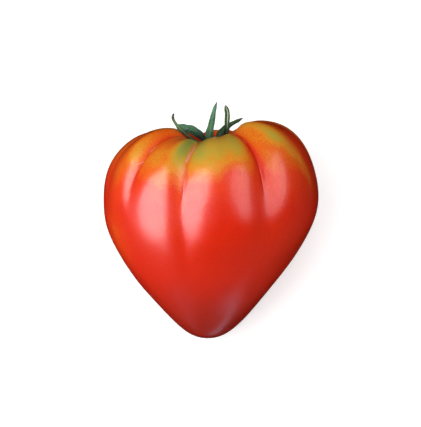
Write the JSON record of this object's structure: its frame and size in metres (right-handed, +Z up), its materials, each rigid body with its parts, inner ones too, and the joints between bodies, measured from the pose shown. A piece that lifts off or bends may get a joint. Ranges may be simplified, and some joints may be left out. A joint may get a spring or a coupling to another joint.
{
  "type": "oxheart tomato",
  "caption": "Ribbed heart-shaped tomato with a green calyx and a short stem stub, lying on its side on a small flat spot.",
  "frame": {"origin": "centre of the small flat spot on the fruit's side that it rests on", "axes": "+Z up from the surface, +Y the way the stem points, level with the surface, +X to the right of someone who looks along +Y"},
  "size_m": [0.0939, 0.0934, 0.0861],
  "materials": {
    "tomato_skin": "smooth waxy fruit skin, red with green-gold shoulders",
    "calyx_green": "matt plant tissue",
    "stem_green": "matt fibrous stem",
    "sepal_green": "matt leaf with fine hairs"
  },
  "bodies": {
    "root": {"fruit": "tomato_skin", "calyx_disc": "calyx_green", "stem_stub": "stem_green", "sepal_front": "sepal_green", "sepal_front_right": "sepal_green", "sepal_back_right": "sepal_green", "sepal_back_left": "sepal_green", "sepal_front_left": "sepal_green"}
  },
  "joints": []
}
